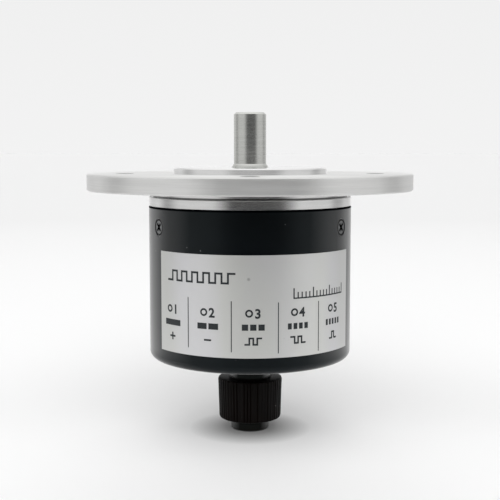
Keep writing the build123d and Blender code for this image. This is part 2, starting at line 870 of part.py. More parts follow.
# Insulator that carries the contact pins
with BuildPart() as connector_insert:
    with BuildSketch(Plane.XY.offset(insert_top_z)):
        Circle(barrel_bore_r - seat_gap)
        with PolarLocations(pin_circle_r, pin_count, start_angle=pin_angles[0]):
            Circle(pin_d / 2 + seat_gap, mode=Mode.SUBTRACT)
    extrude(amount=insert_end_z - insert_top_z)
save(connector_insert.part, "connector_insert")

# Contact pins: round-nosed at the plug's mouth, wider solder cups inside the cover
with BuildPart() as contact_pin:
    with BuildSketch(Plane.XZ):
        with BuildLine():
            pin_nose_z = insert_end_z - pin_out
            nose_r = pin_d * pin_nose_share
            Polyline(
                (pin_d / 2 - nose_r, pin_nose_z),
                (0, pin_nose_z),
                (0, pin_top_z),
                (solder_cup_d / 2, pin_top_z),
                (solder_cup_d / 2, insert_top_z),
                (pin_d / 2, insert_top_z),
                (pin_d / 2, pin_nose_z + nose_r),
            )
            RadiusArc((pin_d / 2, pin_nose_z + nose_r), (pin_d / 2 - nose_r, pin_nose_z), nose_r)
        make_face()
    revolve(axis=Axis.Z)

with BuildPart() as contact_pins:
    with PolarLocations(pin_circle_r, pin_count, start_angle=pin_angles[0]):
        add(contact_pin.part)
save(contact_pins.part, "contact_pins")

# Snap ring that keeps the coupling nut on the barrel
with BuildPart() as nut_snap_ring:
    with BuildSketch(Plane.XY.offset(snap_ring_top_z)):
        Circle(snap_ring_r)
        Circle(snap_groove_r + seat_gap, mode=Mode.SUBTRACT)
        with PolarLocations(snap_ring_r, 1, start_angle=-90):
            Rectangle(snap_ring_r, 2 * snap_ring_r * sin(radians(snap_gap_angle / 2)), mode=Mode.SUBTRACT)
    extrude(amount=-snap_ring_t)
save(nut_snap_ring.part, "nut_snap_ring")

# Coupling nut: ribbed outside, slightly tapered, bored for the mating thread
with BuildPart() as coupling_nut:
    with BuildSketch(Plane.XY.offset(nut_top_z)):
        Circle(nut_r)
        rib_step_w = 2 * nut_r * sin(radians(180 / nut_rib_count))
        with PolarLocations(nut_r, nut_rib_count):
            Rectangle(2 * nut_rib_depth, rib_step_w * (1 - nut_rib_share), mode=Mode.SUBTRACT)
    extrude(amount=-nut_len)
    with BuildSketch(Plane.XZ):
        with BuildLine():
            Polyline(
                (0, nut_top_z),
                (nut_r - nut_top_edge, nut_top_z),
                (nut_r, nut_top_z - nut_top_edge),
                (nut_foot_r, nut_end_z + nut_foot_edge),
                (nut_foot_r - nut_foot_edge, nut_end_z),
                (0, nut_end_z),
                close=True,
            )
        make_face()
    revolve(axis=Axis.Z, mode=Mode.INTERSECT)
    with BuildSketch(Plane.XY.offset(nut_top_z)):
        Circle(barrel_r + running_gap)
    extrude(amount=-nut_len, mode=Mode.SUBTRACT)
    with BuildSketch(Plane.XY.offset(nut_end_z)):
        Circle(nut_bore_r)
    extrude(amount=nut_len - nut_web_t, mode=Mode.SUBTRACT)
save(coupling_nut.part, "coupling_nut")
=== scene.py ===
from math import atan2, cos, pi, radians, sin

import bpy
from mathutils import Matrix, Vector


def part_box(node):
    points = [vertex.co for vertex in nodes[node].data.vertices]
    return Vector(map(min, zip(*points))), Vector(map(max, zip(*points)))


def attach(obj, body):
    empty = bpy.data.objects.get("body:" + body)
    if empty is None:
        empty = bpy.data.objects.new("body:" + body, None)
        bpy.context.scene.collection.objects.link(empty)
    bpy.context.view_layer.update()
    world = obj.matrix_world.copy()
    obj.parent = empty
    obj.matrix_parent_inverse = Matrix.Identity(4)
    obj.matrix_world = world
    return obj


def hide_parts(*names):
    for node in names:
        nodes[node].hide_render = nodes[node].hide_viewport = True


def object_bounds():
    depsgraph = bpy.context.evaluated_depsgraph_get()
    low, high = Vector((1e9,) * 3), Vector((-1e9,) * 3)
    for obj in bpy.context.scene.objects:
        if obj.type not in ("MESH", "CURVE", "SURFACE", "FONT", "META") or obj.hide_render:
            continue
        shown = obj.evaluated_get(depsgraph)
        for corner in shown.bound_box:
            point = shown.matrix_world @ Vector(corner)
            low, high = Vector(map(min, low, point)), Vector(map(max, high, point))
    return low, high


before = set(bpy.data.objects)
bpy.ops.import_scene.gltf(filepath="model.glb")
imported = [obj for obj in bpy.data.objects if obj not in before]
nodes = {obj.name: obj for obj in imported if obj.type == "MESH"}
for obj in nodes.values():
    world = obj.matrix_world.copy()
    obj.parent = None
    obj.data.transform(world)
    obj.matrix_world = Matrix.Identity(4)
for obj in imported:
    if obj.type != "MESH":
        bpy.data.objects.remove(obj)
cad_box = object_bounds()

MM = 0.001

# Places on the object, from model.glb where it gives them
floor_z = cad_box[0].z
cover_low, cover_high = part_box("rear_cover")
label_r = -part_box("label")[0].y
screws_low, screws_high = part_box("cover_screws")
screw_z = (screws_low.z + screws_high.z) / 2
screw_angles = (-60, 60, 180)
hole_circle_r = 31 * MM
neck_h = 1.38 * MM
groove_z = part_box("flange_plate")[0].z - neck_h
pilot_foot_z = 0.0

# Camera: a little above the flange, with the photograph's angle of view
camera_distance = 0.246
camera_height = 0.0053
camera_pitch = 5.65
focal_px = 990
image_px = 500
sensor_mm = 36

camera_data = bpy.data.cameras.new("camera")
camera_data.sensor_width = sensor_mm
camera_data.lens = focal_px / image_px * sensor_mm
camera_data.clip_start = 0.01
camera_data.clip_end = 50
camera = bpy.data.objects.new("camera", camera_data)
camera.location = (0, -camera_distance, camera_height)
camera.rotation_euler = (radians(90 - camera_pitch), 0, 0)
bpy.context.scene.collection.objects.link(camera)
bpy.context.scene.camera = camera
bpy.context.scene.view_settings.view_transform = "Standard"


# Node helpers
def node(tree, kind, inputs=None, **settings):
    """A new node. Each of its inputs takes a value, or a link from another node's output."""
    made = tree.nodes.new("ShaderNode" + kind)
    for key, value in settings.items():
        setattr(made, key, value)
    for key, value in (inputs or {}).items():
        if isinstance(value, bpy.types.NodeSocket):
            tree.links.new(value, made.inputs[key])
        else:
            made.inputs[key].default_value = value
    return made


def math(tree, operation, a, b=0.0):
    return node(tree, "Math", {0: a, 1: b}, operation=operation).outputs[0]


def plus(tree, a, b):
    return math(tree, "ADD", a, b)


def minus(tree, a, b):
    return math(tree, "SUBTRACT", a, b)


def times(tree, a, b):
    return math(tree, "MULTIPLY", a, b)


def remap(tree, value, low, high, to_low, to_high):
    inputs = {"Value": value, "From Min": low, "From Max": high, "To Min": to_low, "To Max": to_high}
    return node(tree, "MapRange", inputs, clamp=True).outputs["Result"]


def mix_colour(tree, share, a, b):
    return node(tree, "Mix", {0: share, 6: a, 7: b}, data_type="RGBA").outputs[2]


def shaded(tree, colour, shade):
    return node(tree, "VectorMath", {0: colour, 1: shade}, operation="MULTIPLY").outputs[0]


def split(tree, vector):
    parts = node(tree, "SeparateXYZ", {0: vector}).outputs
    return parts[0], parts[1], parts[2]


def object_place(tree):
    return node(tree, "TexCoord").outputs["Object"]


def grey(value):
    return (value, value, value, 1)


# Room: a white tent with an opening for the camera, a white table and lamps on both sides
tent_white = 0.84
ceiling_white = 1.17
ceiling_from, ceiling_to = 0.45, 0.85
back_glow = 0.18
back_glow_from, back_glow_to = 0.85, 0.97
opening_top_from, opening_top_to = 0.10, 0.50
backdrop_low = 0.893
backdrop_high = 0.872
backdrop_rise = 0.15
daylight = 0.30

# Openings: centre, half width and soft edge in degrees round from the front, positive to the
# right, and how much darker than the tent a mirror shows them
tent_openings = (
    (8, 28, 21, 0.67),
    (-106, 3, 16, 0.34),
    (116, 5, 12, 0.34),
    (0, 100, 30, 0.10),
    (-146, 10, 16, 0.12),
    (146, 10, 16, 0.16),
)

# Lamps: name, strength, width, angle from straight above, and angle round from the front
lamps = (
    ("front_lamp", 1.33, 70, 60, 0),
    ("front_high_lamp", 0.70, 70, 40, 0),
    ("front_low_lamp", 0.54, 40, 75, 0),
    ("back_lamp", 1.40, 70, 60, 180),
    ("left_lamp", 0.60, 50, 60, -75),
    ("right_lamp", 0.42, 50, 60, 75),
)

table_size = 160
table_white = 0.915
table_far_white = 0.80
table_far_from, table_far_to = 0.03, 0.8
# Painted shadow under the foot: the table's white is darkened near the axis, on top of the lamps' own shadow
foot_shade = 0.46
foot_shade_from, foot_shade_to = 0.006, 0.0155
table_mirror_near, table_mirror_far = 0.07, 0.24


def zone(tree, angle, centre, half_width, soft):
    """1 within half_width degrees of an angle, falling to 0 over the soft edge."""
    away = math(tree, "ABSOLUTE", minus(tree, angle, centre))
    return remap(tree, away, half_width, half_width + soft, 1.0, 0.0)


def light_world():
    """The camera sees a pale backdrop, mirrors see the tent, and matt surfaces an even light."""
    world = bpy.data.worlds.new("white_tent")
    bpy.context.scene.world = world
    world.use_nodes = True
    tree = world.node_tree
    tree.nodes.clear()
    rays = node(tree, "LightPath").outputs
    x, y, up = split(tree, node(tree, "TexCoord").outputs["Generated"])
    turn = math(tree, "DEGREES", math(tree, "ARCTAN2", x, times(tree, y, -1.0)))
    openings = 0.0
    for centre, half_width, soft, depth in tent_openings:
        openings = plus(tree, openings, times(tree, zone(tree, turn, centre, half_width, soft), depth))
    wall = remap(tree, up, opening_top_from, opening_top_to, 1.0, 0.0)
    back = remap(tree, y, back_glow_from, back_glow_to, 0.0, back_glow)
    white = plus(tree, back, remap(tree, up, ceiling_from, ceiling_to, tent_white, ceiling_white))
    mirrored = minus(tree, white, times(tree, openings, wall))
    height = remap(tree, up, 0.0, backdrop_rise, 0.0, 1.0)
    seen = mix_colour(tree, height, grey(backdrop_low), grey(backdrop_high))
    sharp = math(tree, "MAXIMUM", rays["Is Glossy Ray"], rays["Is Transmission Ray"])
    lit = mix_colour(tree, sharp, grey(daylight), mirrored)
    colour = mix_colour(tree, rays["Is Camera Ray"], lit, seen)
    background = node(tree, "Background", {"Color": colour, "Strength": 1.0})
    node(tree, "OutputWorld", {"Surface": background.outputs[0]})


def add_lamp(name, strength, width, lean, turn):
    """A wide soft lamp that leaves its light on surfaces but isn't itself mirrored."""
    data = bpy.data.lights.new(name, "SUN")
    data.energy = strength
    data.angle = radians(width)
    lamp = bpy.data.objects.new(name, data)
    lamp.rotation_euler = (radians(lean), 0, radians(turn))
    lamp.visible_glossy = False
    bpy.context.scene.collection.objects.link(lamp)


def table_surface():
    """White, greyer far off, with a painted shadow under the foot. Mirrors see it near by and the tent
    beyond.
    """
    surface = bpy.data.materials.new("table_white")
    surface.use_nodes = True
    tree = surface.node_tree
    tree.nodes.clear()
    distance = node(tree, "VectorMath", {0: object_place(tree)}, operation="LENGTH").outputs["Value"]
    far = remap(tree, distance, table_far_from, table_far_to, 0.0, 1.0)
    paper = mix_colour(tree, far, grey(table_white), grey(table_far_white))
    # painted shadow round the foot
    foot = remap(tree, distance, foot_shade_from, foot_shade_to, foot_shade, 1.0)
    white = node(tree, "BsdfDiffuse", {"Color": shaded(tree, paper, foot)}).outputs[0]
    clear = node(tree, "BsdfTransparent").outputs[0]
    beyond = remap(tree, distance, table_mirror_near, table_mirror_far, 0.0, 1.0)
    unseen = times(tree, node(tree, "LightPath").outputs["Is Glossy Ray"], beyond)
    shown = node(tree, "MixShader", {0: unseen, 1: white, 2: clear}).outputs[0]
    node(tree, "OutputMaterial", {"Surface": shown})
    return surface


def make_room():
    light_world()
    for lamp in lamps:
        add_lamp(*lamp)
    bpy.ops.mesh.primitive_plane_add(size=table_size, location=(0, 0, floor_z))
    table = bpy.context.object
    table.name = "table"
    table.data.materials.append(table_surface())


make_room()


# Patterns on Object coordinates, which are metres from the shaft axis
def axis_places(tree):
    """X, Y and Z of a point. Z runs along the shaft axis."""
    return split(tree, object_place(tree))


def height_place(tree):
    return axis_places(tree)[2]


def squares(tree, a, b):
    return plus(tree, times(tree, a, a), times(tree, b, b))


def turning_lines(tree, pitch, streak):
    """Fine lines left by the lathe: they run round the axis and change across it and along it.
    streak is how often a line changes on its way round."""
    x, y, z = axis_places(tree)
    radius = math(tree, "MAXIMUM", math(tree, "SQRT", squares(tree, x, y)), 1e-6)
    round_x = times(tree, math(tree, "DIVIDE", x, radius), streak)
    round_y = times(tree, math(tree, "DIVIDE", y, radius), streak)
    across = math(tree, "DIVIDE", radius, pitch)
    along = math(tree, "DIVIDE", z, pitch)
    vector = node(tree, "CombineXYZ", {0: round_x, 1: round_y, 2: across}).outputs[0]
    inputs = {"Vector": vector, "W": along, "Scale": 1.0, "Detail": 2.0, "Roughness": 0.6}
    return node(tree, "TexNoise", inputs, noise_dimensions="4D").outputs["Fac"]


def grain(tree, size, detail=2.0, stretch=(1, 1, 1)):
    scaled = node(tree, "Mapping", {"Vector": object_place(tree), "Scale": stretch}).outputs[0]
    inputs = {"Vector": scaled, "Scale": 1 / size, "Detail": detail, "Roughness": 0.55}
    return node(tree, "TexNoise", inputs).outputs["Fac"]


def follow(tree, pattern, low, high, reach=0.2):
    """Goes from low to high with a noise pattern, which strays by reach from its middle of 0.5."""
    return remap(tree, pattern, 0.5 - reach, 0.5 + reach, low, high)


def specks(tree, spacing, share):
    """1 on a few small scattered dots, 0 elsewhere. share is how many of the places have a dot."""
    core, edge = 0.05, 0.12
    cells = node(tree, "TexVoronoi", {"Vector": object_place(tree), "Scale": 1 / spacing, "Randomness": 1.0})
    draw = split(tree, cells.outputs["Color"])[0]
    chosen = math(tree, "GREATER_THAN", draw, 1 - share)
    return times(tree, chosen, remap(tree, cells.outputs["Distance"], core, edge, 1.0, 0.0))


def round_tangent(tree):
    """The direction round the shaft axis, along which highlights stretch."""
    x, y = axis_places(tree)[:2]
    flat = node(tree, "CombineXYZ", {0: times(tree, y, -1.0), 1: x}).outputs[0]
    spaces = {"vector_type": "VECTOR", "convert_from": "OBJECT", "convert_to": "WORLD"}
    return node(tree, "VectorTransform", {0: flat}, **spaces).outputs[0]


def bump(tree, height, depth, strength=1.0, under=None):
    inputs = {"Height": height, "Distance": depth, "Strength": strength}
    if under is not None:
        inputs["Normal"] = under
    return node(tree, "Bump", inputs).outputs[0]


def leaning_wall(tree, foot_z, slope):
    """Lets a turned wall above foot_z look slightly coned, narrower at its top."""
    rise = math(tree, "MAXIMUM", minus(tree, height_place(tree), foot_z), 0.0)
    return bump(tree, times(tree, rise, -slope), 1.0)


def dull_bores(tree):
    """Painted shade inside the four mounting holes: darker there, 1 elsewhere."""
    bore_r = 2.27 * MM
    edge = 1.01
    shade = 0.30
    x, y = axis_places(tree)[:2]
    nearest = 1.0
    for across, along in ((x, y), (y, x)):
        away = minus(tree, math(tree, "ABSOLUTE", across), hole_circle_r)
        nearest = math(tree, "MINIMUM", squares(tree, away, along), nearest)
    return remap(tree, nearest, bore_r * bore_r, bore_r * bore_r * edge, shade, 1.0)


def dull_groove(tree):
    """Painted shade in the corner between the housing's neck and its ring: darker there, 1 elsewhere."""
    core, edge = 0.16 * MM, 0.26 * MM
    shade = 0.22
    away = math(tree, "ABSOLUTE", minus(tree, height_place(tree), groove_z))
    return remap(tree, away, core, edge, shade, 1.0)


def dull_head_edge(tree):
    """Painted shade round the edges of the cover screws' heads, where their shine is taken off; 1 inside."""
    head_r, edge_r = 1.48 * MM, 1.60 * MM
    shade = 0.08
    x, y, z = axis_places(tree)
    rise = minus(tree, z, screw_z)
    nearest = 1.0
    for angle in screw_angles:
        turn = radians(angle)
        aside = plus(tree, times(tree, x, cos(turn)), times(tree, y, sin(turn)))
        nearest = math(tree, "MINIMUM", squares(tree, aside, rise), nearest)
    return remap(tree, math(tree, "SQRT", nearest), head_r, edge_r, 1.0, shade)


# Materials
def begin(name):
    made = bpy.data.materials.new(name)
    made.use_nodes = True
    made.node_tree.nodes.clear()
    return made, made.node_tree


def close(tree, inputs, rim=0.0, between=None, dull=None):
    """Ends a material. rim is the share of extra gloss where the surface turns away. between gives
    a piece's foot and top: the gloss fades out at the foot, and the seam at the top loses its shine,
    as a painted shade line at the joint. A pattern of painted shade takes the shine off where it is dark."""
    rim_from, rim_to = 0.2, 0.65
    foot_from, foot_to = 0.5 * MM, 3.5 * MM
    seam_from, seam_to = 0.45 * MM, 0.30 * MM
    full_specular = 0.5
    shine = None
    if between:
        foot_z, top_z = between
        height = height_place(tree)
        # painted shade at the seam: sheen and shine fade out over the top band of the piece
        shine = remap(tree, height, top_z - seam_from, top_z - seam_to, 1.0, 0.0)
        inputs["Sheen Weight"] = times(tree, shine, inputs["Sheen Weight"])
    # a pattern of painted shade takes the shine off where it is dark
    if dull:
        shine = dull(tree)
    if shine:
        inputs["Specular IOR Level"] = times(tree, shine, full_specular)
    shader = node(tree, "BsdfPrincipled", inputs).outputs[0]
    if rim:
        away = node(tree, "LayerWeight", {"Blend": 0.5}).outputs["Facing"]
        share = remap(tree, away, rim_from, rim_to, 0.0, rim)
        if shine:
            share = times(tree, share, shine)
        if between:
            rise = remap(tree, height, foot_z + foot_from, foot_z + foot_to, 0.0, 1.0)
            share = times(tree, share, rise)
        gloss = node(tree, "BsdfGlossy", {"Color": grey(1.0), "Roughness": inputs["Roughness"]}).outputs[0]
        shader = node(tree, "MixShader", {0: share, 1: shader, 2: gloss}).outputs[0]
    node(tree, "OutputMaterial", {"Surface": shader})


def shades(colour, down, up):
    """The darker and the lighter colour that a pattern moves between."""
    return [c * down for c in colour] + [1], [min(1, c * up) for c in colour] + [1]


def turned_metal(
    name,
    colour,
    roughness,
    spread=0.06,
    pitch=0.14 * MM,
    anisotropy=0.5,
    streak=1.5,
    cone=None,
    dull=None,
):
    """Metal that was turned or ground: fine round lines, slight changes of tone, stretched highlights.
    A slim piece takes a small streak, so that its lines still run well round it."""
    wide_pitch = pitch * 5
    wide_streak = streak * 5 / 3
    fine_part = 0.5
    lines_middle = 0.667
    lines_part, cloud_part = 0.7, 0.3
    made, tree = begin(name)
    fine = turning_lines(tree, pitch, streak)
    wide = turning_lines(tree, wide_pitch, wide_streak)
    cloud = grain(tree, 6 * MM)
    lines = times(tree, plus(tree, times(tree, fine, fine_part), wide), lines_middle)
    tint = mix_colour(tree, follow(tree, lines, 0.0, 1.0, reach=0.15), *shades(colour, 0.94, 1.06))
    # painted shade: the tint is darkened where the pattern is dark
    if dull:
        tint = shaded(tree, tint, dull(tree))
    uneven = plus(tree, times(tree, lines, lines_part), times(tree, cloud, cloud_part))
    wall = leaning_wall(tree, *cone) if cone else None
    close(
        tree,
        {
            "Base Color": tint,
            "Metallic": 1.0,
            "Roughness": follow(tree, uneven, roughness - spread, roughness + spread),
            "Anisotropic": anisotropy,
            "Anisotropic Rotation": 0.25,
            "Tangent": round_tangent(tree),
            "Normal": bump(tree, lines, 0.0006 * MM, under=wall),
        },
    )
    return made


def plain_metal(name, colour, roughness, depth=0.001 * MM, tone=0.08):
    """Stamped, drawn or plated metal: a fine grain with no direction."""
    made, tree = begin(name)
    fine = grain(tree, 0.4 * MM, detail=3.0)
    cloud = grain(tree, 4.8 * MM)
    close(
        tree,
        {
            "Base Color": mix_colour(tree, cloud, *shades(colour, 1 - tone, 1 + tone)),
            "Metallic": 1.0,
            "Roughness": follow(tree, fine, roughness * 0.8, roughness * 1.2),
            "Normal": bump(tree, fine, depth),
        },
    )
    return made


def coated(name, colour, roughness, size=0.1 * MM, depth=0.004 * MM, dust=0.0, ior=1.5, sheen=0.0, **edge):
    """Anodised, plated or painted metal: a satin skin with a very fine grain and specks of dust."""
    cool_shine = (0.82, 0.96, 1.0, 1)
    dust_grey = grey(0.35)
    made, tree = begin(name)
    fine = grain(tree, size, detail=3.0)
    cloud = grain(tree, 8 * MM)
    tint = mix_colour(tree, follow(tree, cloud, 0.0, 1.0), *shades(colour, 0.75, 1.25))
    if dust:
        dots = specks(tree, spacing=1.6 * MM, share=0.05)
        tint = mix_colour(tree, times(tree, dots, dust), tint, dust_grey)
    close(
        tree,
        {
            "Base Color": tint,
            "Roughness": follow(tree, fine, roughness * 0.9, roughness * 1.1),
            "IOR": ior,
            "Specular Tint": cool_shine,
            "Sheen Weight": sheen,
            "Sheen Roughness": 0.3,
            "Normal": bump(tree, fine, depth, strength=0.6),
        },
        **edge,
    )
    return made


def moulded(name, colour, roughness):
    """Moulded plastic or rubber with a faint matt grain."""
    made, tree = begin(name)
    fine = grain(tree, 0.3 * MM)
    cloud = grain(tree, 3 * MM)
    close(
        tree,
        {
            "Base Color": mix_colour(tree, cloud, *shades(colour, 0.85, 1.12)),
            "Roughness": follow(tree, fine, roughness * 0.88, roughness * 1.12),
            "Normal": bump(tree, fine, 0.003 * MM, strength=0.7),
        },
    )
    return made


def foil_label(name):
    """Matt silver foil: a faint upright grain, soft bands of tone and a few tiny marks."""
    warm = (0.655, 0.66, 0.64, 1)
    cool = (0.665, 0.664, 0.68, 1)
    mark_grey = grey(0.2)
    made, tree = begin(name)
    fine = grain(tree, 0.12 * MM, detail=3.0, stretch=(1, 1, 0.25))
    bands = grain(tree, 12 * MM, detail=1.0, stretch=(1, 1, 0.15))
    marks = times(tree, specks(tree, spacing=4 * MM, share=0.08), 0.5)
    tint = mix_colour(tree, follow(tree, bands, 0.0, 1.0, reach=0.15), warm, cool)
    close(
        tree,
        {
            "Base Color": mix_colour(tree, marks, tint, mark_grey),
            "Metallic": 0.85,
            "Roughness": follow(tree, fine, 0.42, 0.52),
            "Normal": bump(tree, fine, 0.0015 * MM),
        },
    )
    return made


def lens_plastic(name):
    """Clear bluish plastic of the light emitter."""
    made, tree = begin(name)
    cloud = grain(tree, 1 * MM)
    close(
        tree,
        {
            "Base Color": mix_colour(tree, cloud, (0.55, 0.60, 0.80, 1), (0.70, 0.75, 0.90, 1)),
            "Roughness": follow(tree, cloud, 0.05, 0.12),
            "Transmission Weight": 0.6,
            "IOR": 1.49,
        },
    )
    return made


def solder_mask(name):
    """Green board with copper tracks that show as slightly lighter lines."""
    made, tree = begin(name)
    inputs = {"Vector": object_place(tree), "Scale": 300.0, "Mortar Size": 0.012}
    tracks = node(tree, "TexBrick", inputs).outputs["Fac"]
    fine = grain(tree, 0.3 * MM)
    close(
        tree,
        {
            "Base Color": mix_colour(tree, tracks, (0.010, 0.14, 0.05, 1), (0.02, 0.24, 0.09, 1)),
            "Roughness": follow(tree, fine, 0.25, 0.38),
            "Normal": bump(tree, tracks, 0.02 * MM),
        },
    )
    return made


# Metals
satin_aluminium = turned_metal(
    "satin_aluminium",
    (0.77, 0.77, 0.76),
    0.43,
    pitch=0.16 * MM,
    anisotropy=0.86,
    dull=dull_bores,
)
pilot_lean = 0.18
bright_aluminium = turned_metal(
    "bright_aluminium",
    (0.76, 0.76, 0.755),
    0.20,
    spread=0.05,
    cone=(pilot_foot_z, pilot_lean),
    dull=dull_groove,
)
ground_steel = turned_metal(
    "ground_steel",
    (0.60, 0.605, 0.58),
    0.27,
    spread=0.02,
    pitch=0.11 * MM,
    anisotropy=0.3,
    streak=0.25,
)
bearing_steel = turned_metal("bearing_steel", (0.56, 0.57, 0.58), 0.16, spread=0.04)
turned_brass = turned_metal("turned_brass", (0.70, 0.52, 0.24), 0.25)
zinc_steel = plain_metal("zinc_steel", (0.60, 0.60, 0.61), 0.28)
ball_steel = plain_metal("ball_steel", (0.75, 0.75, 0.77), 0.06, depth=0.0001 * MM, tone=0.03)
spring_steel = plain_metal("spring_steel", (0.20, 0.20, 0.23), 0.32)
etched_steel = plain_metal("etched_steel", (0.45, 0.45, 0.47), 0.30)
mask_chrome = plain_metal("mask_chrome", (0.60, 0.60, 0.62), 0.12)
drawn_can = plain_metal("drawn_can", (0.70, 0.70, 0.72), 0.25)
gold_plate = plain_metal("gold_plate", (0.85, 0.62, 0.26), 0.22)

# Black skins and ink
# The cover's top seam gets a painted shade line, where its shine fades out
satin_black = coated(
    "satin_black",
    (0.0007, 0.0012, 0.0017),
    0.31,
    size=0.25 * MM,
    dust=0.4,
    ior=1.29,
    sheen=0.5,
    rim=0.085,
    between=(cover_low.z, cover_high.z),
)
black_oxide = coated(
    "black_oxide",
    (0.002, 0.002, 0.002),
    0.16,
    depth=0.001 * MM,
    rim=0.14,
    dull=dull_head_edge,
)
black_nickel = coated("black_nickel", (0.005, 0.005, 0.004), 0.28, depth=0.001 * MM, ior=1.19, rim=0.20)
nut_black = coated("nut_black", (0.0030, 0.0018, 0.0014), 0.42, size=0.15 * MM, dust=0.3, ior=1.16)
label_ink = coated("label_ink", (0.012, 0.012, 0.013), 0.55)

# Plastic, rubber and ceramic
black_rubber = moulded("black_rubber", (0.012, 0.012, 0.012), 0.7)
black_plastic = moulded("black_plastic", (0.018, 0.018, 0.019), 0.45)
white_plastic = moulded("white_plastic", (0.78, 0.77, 0.72), 0.42)
dark_gloss = moulded("dark_gloss", (0.03, 0.03, 0.06), 0.12)
fired_ceramic = moulded("fired_ceramic", (0.06, 0.06, 0.07), 0.35)

finishes = {
    "flange_plate": satin_aluminium,
    "bearing_housing": bright_aluminium,
    "shaft": ground_steel,
    "shaft_collar": ground_steel,
    "disc_hub": bright_aluminium,
    "flange_screws": zinc_steel,
    "hub_screw": zinc_steel,
    "board_screws": zinc_steel,
    "disc_clamp_washer": zinc_steel,
    "connector_panel_nut": zinc_steel,
    "preload_spring": spring_steel,
    "bearing_retaining_ring": spring_steel,
    "nut_snap_ring": spring_steel,
    "code_disc": etched_steel,
    "reticle_mask": mask_chrome,
    "sensor_head": black_plastic,
    "light_emitter": lens_plastic("lens_plastic"),
    "photodetector": dark_gloss,
    "circuit_board": solder_mask("solder_mask"),
    "board_standoffs": turned_brass,
    "board_chips": black_plastic,
    "board_capacitors": drawn_can,
    "board_resistors": fired_ceramic,
    "wire_header": white_plastic,
    "rear_cover": satin_black,
    "cover_screws": black_oxide,
    "cover_seal": black_rubber,
    "label": foil_label("foil_label"),
    "connector_shell": black_nickel,
    "connector_gasket": black_rubber,
    "connector_insert": black_plastic,
    "contact_pins": gold_plate,
    "coupling_nut": nut_black,
}
for end in ("front", "rear"):
    finishes[f"{end}_bearing_outer_ring"] = bearing_steel
    finishes[f"{end}_bearing_inner_ring"] = bearing_steel
    finishes[f"{end}_bearing_balls"] = ball_steel
    finishes[f"{end}_bearing_cage"] = turned_brass

insulation_colours = {
    "red": (0.55, 0.02, 0.02),
    "black": (0.02, 0.02, 0.02),
    "white": (0.80, 0.80, 0.78),
    "green": (0.02, 0.30, 0.07),
    "yellow": (0.75, 0.55, 0.03),
}
for colour_name, colour in insulation_colours.items():
    finishes[f"lead_wire_{colour_name}"] = moulded(f"insulation_{colour_name}", colour, 0.35)

for name, thing in nodes.items():
    thing.data.materials.clear()
    thing.data.materials.append(finishes[name])


# Pieces turned from a section, for forms that are finer than the CAD ones
smooth_angle = 32
merge_distance = 0.001 * MM


def turned(section, facets):
    """A ring from its section: pairs of radius and height, walked round once."""
    radius, height = section[0]
    bpy.ops.mesh.primitive_circle_add(vertices=facets, radius=radius, location=(0, 0, height))
    bpy.ops.object.transform_apply(location=True)
    bpy.ops.object.mode_set(mode="EDIT")
    bpy.ops.mesh.select_all(action="SELECT")
    for here, there in zip(section, section[1:] + section[:1]):
        bpy.ops.mesh.extrude_region_move(TRANSFORM_OT_translate={"value": (0, 0, there[1] - here[1])})
        scale = there[0] / here[0]
        bpy.ops.transform.resize(value=(scale, scale, 1), center_override=(0, 0, there[1]))
    bpy.ops.mesh.select_all(action="SELECT")
    bpy.ops.mesh.remove_doubles(threshold=merge_distance)
    bpy.ops.mesh.normals_make_consistent(inside=False)
    bpy.ops.object.mode_set(mode="OBJECT")
    return bpy.context.object


def finish_turned(piece, name, finish, body, node_name):
    bpy.ops.object.shade_smooth_by_angle(angle=radians(smooth_angle))
    piece.name = name
    piece.data.materials.clear()
    piece.data.materials.append(finish)
    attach(piece, body)
    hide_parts(node_name)


# The nut's ribs, and how far each of a rib's six corners lies back from the outside
rib_count = 57
rib_depth = 0.35 * MM
rib_shoulder = 0.12 * MM
rib_cuts = (rib_depth, rib_shoulder, 0.0, 0.0, 0.0, rib_shoulder)


def make_nut():
    """Coupling nut with rounded ribs that run down to its foot edge."""
    low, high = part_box("coupling_nut")
    top_r = high.x + 0.15 * MM
    foot_r = top_r - 0.3 * MM
    hole_r = 4.87 * MM
    bore_r = 6.3 * MM
    web_z = high.z - 1.2 * MM
    top_edge = 0.55 * MM
    top_round = 0.15 * MM
    foot_edge_h = 0.6 * MM
    foot_edge_w = 0.5 * MM
    foot_round_h = 0.18 * MM
    foot_round_w = 0.15 * MM
    section = [
        (hole_r, high.z),
        (top_r - top_edge, high.z),
        (top_r - top_round, high.z - top_round),
        (top_r, high.z - top_edge),
        (foot_r, low.z + foot_edge_h),
        (foot_r - foot_round_w, low.z + foot_round_h),
        (foot_r - foot_edge_w, low.z),
        (bore_r, low.z),
        (bore_r, web_z),
        (hole_r, web_z),
    ]
    facets = rib_count * len(rib_cuts)
    nut = turned(section, facets)
    for vertex in nut.data.vertices:
        x, y, z = vertex.co
        radius = (x * x + y * y) ** 0.5
        outside = top_r + (foot_r - top_r) * (high.z - z) / (high.z - low.z)
        step = round(atan2(y, x) / (2 * pi) * facets) % len(rib_cuts)
        scale = min(radius, outside - rib_cuts[step]) / radius
        vertex.co = (x * scale, y * scale, z)
    finish_turned(nut, "ribbed_coupling_nut", nut_black, "nut", "coupling_nut")


def make_collar():
    """Shaft collar coned towards the shaft's end."""
    low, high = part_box("shaft_collar")
    bore_r = 4.01 * MM
    lip_w = 0.05 * MM
    cone_h = 0.65 * MM
    facets = 128
    section = [
        (bore_r, low.z),
        (high.x, low.z),
        (high.x, high.z - cone_h),
        (bore_r + lip_w, high.z),
        (bore_r, high.z),
    ]
    collar = turned(section, facets)
    finish_turned(collar, "coned_shaft_collar", ground_steel, "rotor", "shaft_collar")


make_nut()
make_collar()


# Print on the label: flat shapes laid out by arc length and height, then laid on the foil
ink_t = 0.015 * MM
ink_r = label_r + 0.004 * MM
longest_flat = 0.6 * MM

divider_angles = (-34.5, -9.7, 14.85, 39.1)
divider_w = 0.22 * MM
divider_top = -28.35 * MM
divider_foot = -40.05 * MM
divider_drop = -0.0143 * MM

